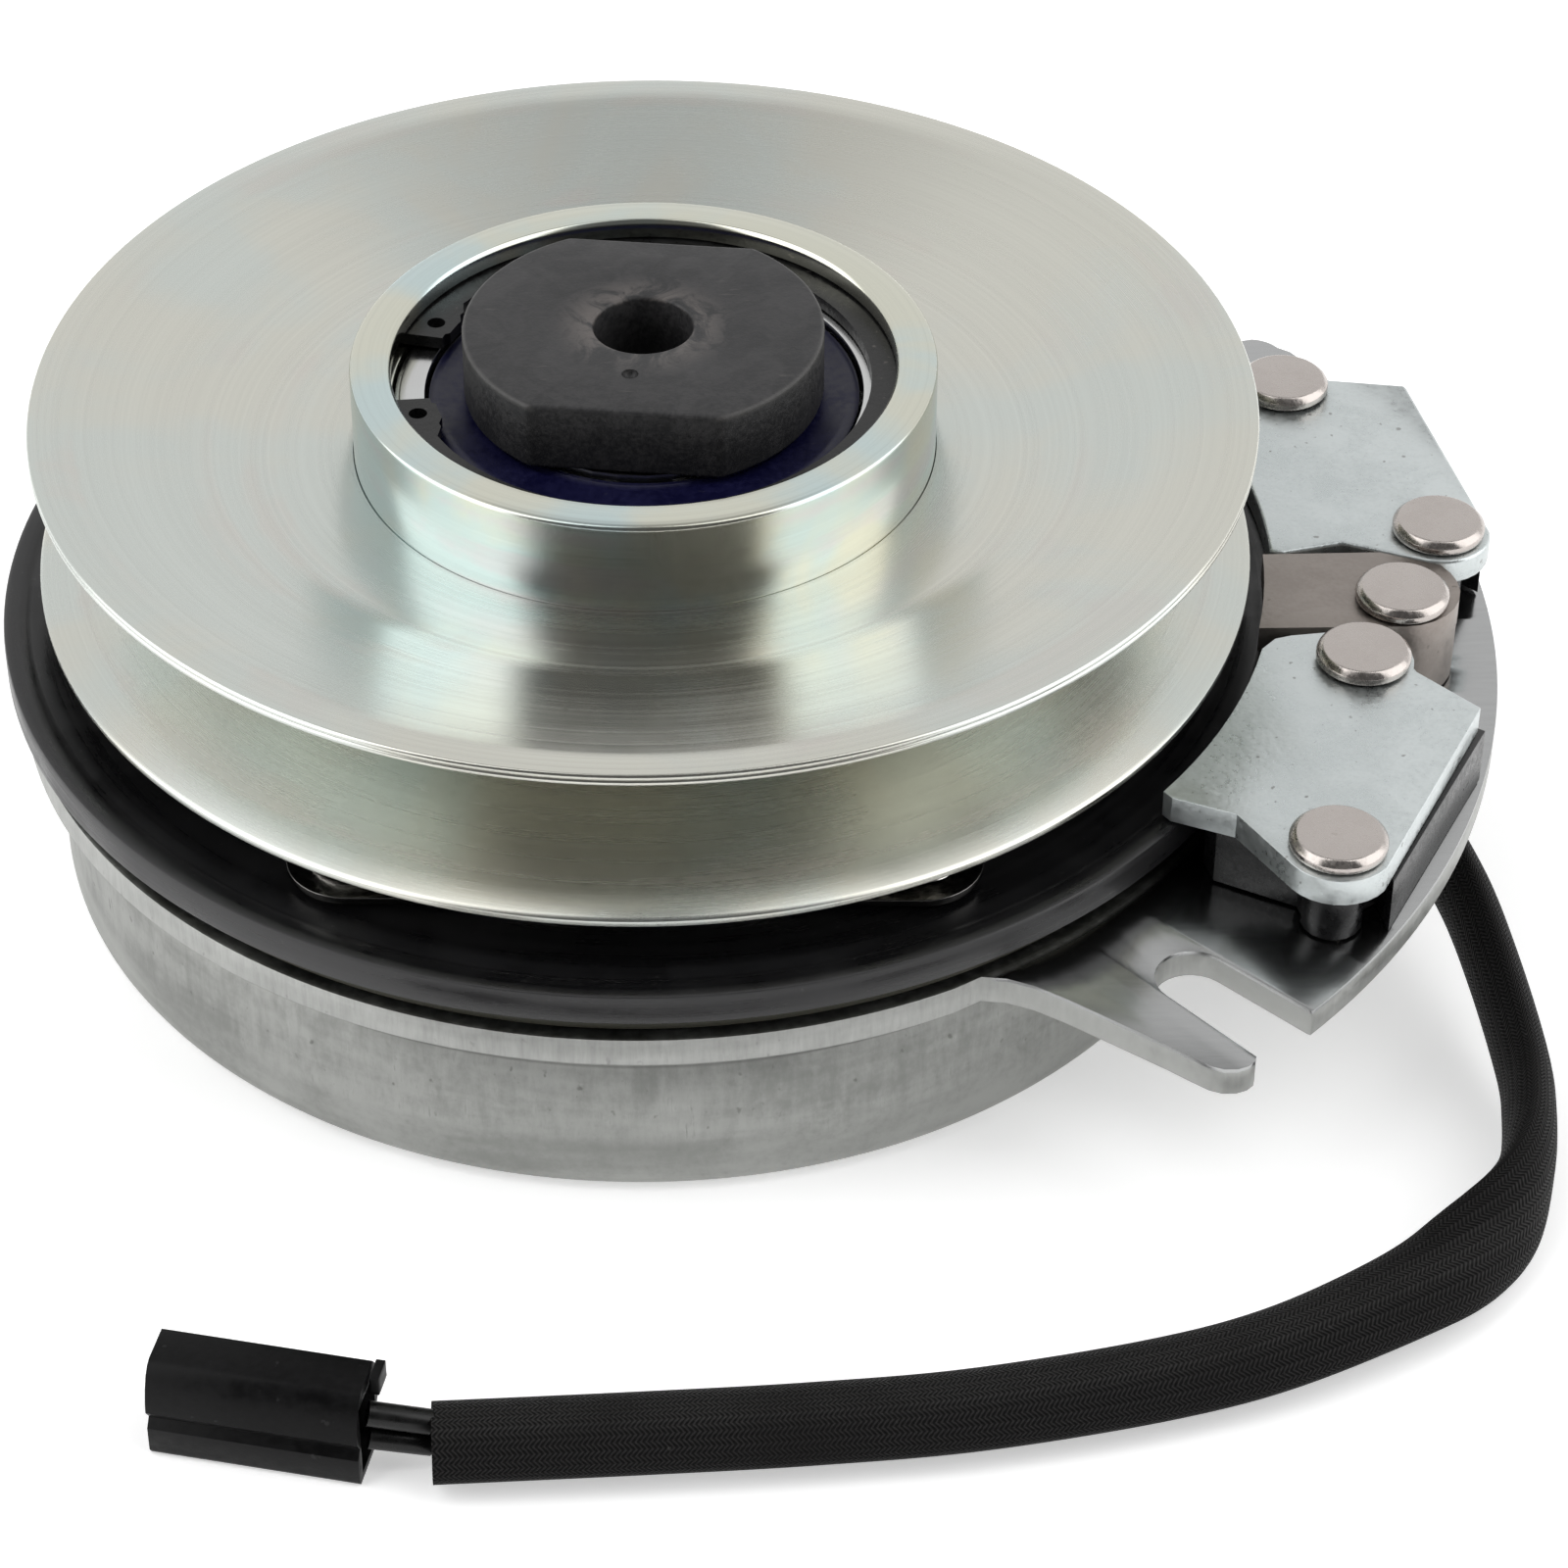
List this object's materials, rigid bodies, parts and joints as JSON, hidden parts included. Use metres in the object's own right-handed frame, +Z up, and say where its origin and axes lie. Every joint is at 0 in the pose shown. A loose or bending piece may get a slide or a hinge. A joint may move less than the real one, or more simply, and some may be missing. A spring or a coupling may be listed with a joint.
{
  "type": "electromagnetic clutch",
  "caption": "Electromagnetic blade clutch and brake with a V-belt pulley, bolt-on nose hub, drawn field shell, magnet brake on a slotted flange, and a braided two-wire lead with connector.",
  "frame": {"origin": "centre of the bottom of the clutch's bounding box without its lead; the shaft axis stands at x -13.55 mm, y 2.65 mm", "axes": "+Z up the shaft axis from the field shell to the nose hub; +X from the shaft towards the slotted brake flange"},
  "size_m": [0.1911, 0.2058, 0.074],
  "materials": {
    "shell_steel": "raw drawn steel, mottled, with fine die scratches",
    "pole_steel": "raw machined steel",
    "zinc": "turned and zinc plated, pale champagne grey with a faint colour play",
    "rotor_steel": "dark olive-black coating",
    "armature_black": "satin black, worn at the rim",
    "nose_phosphate": "charcoal phosphate, matte",
    "bearing_steel": "ground and polished",
    "seal_navy": "navy moulded seal",
    "seal_black": "black moulded seal",
    "snap_steel": "dark phosphated spring steel",
    "pole_plate": "pale bluish zinc with fine specks",
    "sintered": "brown-grey sintered iron",
    "pin_nickel": "warm grey nickel with polished chamfers",
    "holder_plastic": "black glass-filled moulding",
    "ferrite": "dark grey ferrite",
    "spring_steel": "blued spring steel",
    "rivet_steel": "plated steel rivet",
    "bobbin_nylon": "natural nylon",
    "copper": "enamelled copper wire, copper brown",
    "potting": "dark casting resin",
    "friction": "grey-brown friction lining",
    "rubber_black": "black rubber",
    "braid": "black woven sleeve",
    "wire_black": "black wire insulation",
    "connector_black": "black nylon",
    "brass": "stamped brass"
  },
  "bodies": {
    "root": {"field_shell": "shell_steel", "inner_pole": "pole_steel", "coil_bobbin": "bobbin_nylon", "coil_winding": "copper", "coil_potting": "potting", "field_bearing_outer": "bearing_steel", "field_bearing_seal_low": "seal_black", "field_bearing_seal_top": "seal_black", "field_snap_ring": "snap_steel", "brake_plate_front": "pole_plate", "brake_plate_rear": "pole_plate", "magnet_holder_front": "holder_plastic", "magnet_holder_rear": "holder_plastic", "brake_magnet_front": "ferrite", "brake_magnet_rear": "ferrite", "brake_centre_pole": "sintered", "lead_grommet": "rubber_black", "lead_sleeve": "braid", "lead_wire_1": "wire_black", "lead_wire_2": "wire_black", "connector_housing": "connector_black", "connector_latch": "connector_black", "connector_terminal_1": "brass", "connector_terminal_2": "brass", "brake_pin_1": "pin_nickel", "brake_pin_2": "pin_nickel", "brake_pin_3": "pin_nickel", "brake_pin_4": "pin_nickel", "brake_pin_5": "pin_nickel"},
    "drive": {"rotor": "rotor_steel", "friction_ring": "friction", "bearing_spacer": "bearing_steel", "nose_hub": "nose_phosphate", "field_bearing_inner": "bearing_steel", "pulley_bearing_inner": "bearing_steel"},
    "pulley": {"pulley_hub": "zinc", "sheave_upper": "zinc", "sheave_lower": "zinc", "pulley_bearing_outer": "bearing_steel", "pulley_bearing_seal_low": "seal_navy", "pulley_bearing_seal_top": "seal_navy", "pulley_snap_ring": "snap_steel", "leaf_spring_1": "spring_steel", "leaf_spring_2": "spring_steel", "leaf_spring_3": "spring_steel", "pulley_rivet_1": "rivet_steel", "pulley_rivet_2": "rivet_steel", "pulley_rivet_3": "rivet_steel"},
    "armature": {"armature": "armature_black", "armature_rivet_1": "rivet_steel", "armature_rivet_2": "rivet_steel", "armature_rivet_3": "rivet_steel"},
    "pulley_cage": {"pulley_bearing_balls": "bearing_steel"},
    "field_cage": {"field_bearing_balls": "bearing_steel"}
  },
  "joints": [
    {"name": "rotor_spin", "type": "hinge", "parent": "root", "child": "drive", "pos_m": [-0.01355, 0.00265, 0], "axis": [0, 0, 1], "continuous": true},
    {"name": "pulley_spin", "type": "hinge", "parent": "drive", "child": "pulley", "pos_m": [-0.01355, 0.00265, 0], "axis": [0, 0, 1], "continuous": true},
    {"name": "armature_slide", "type": "slide", "parent": "pulley", "child": "armature", "axis": [0, 0, 1], "range_m": [-0.0005, 0], "stiffness_N_per_m": 4000, "deforming": ["leaf_spring_1", "leaf_spring_2", "leaf_spring_3"]},
    {"name": "pulley_cage_spin", "type": "hinge", "parent": "drive", "child": "pulley_cage", "pos_m": [-0.01355, 0.00265, 0], "axis": [0, 0, 1], "continuous": true},
    {"name": "field_cage_spin", "type": "hinge", "parent": "root", "child": "field_cage", "pos_m": [-0.01355, 0.00265, 0], "axis": [0, 0, 1], "continuous": true}
  ],
  "couplings": [
    {"joint": "pulley_cage_spin", "follows": "pulley_spin", "ratio": 0.5996},
    {"joint": "field_cage_spin", "follows": "rotor_spin", "ratio": 0.4198}
  ]
}
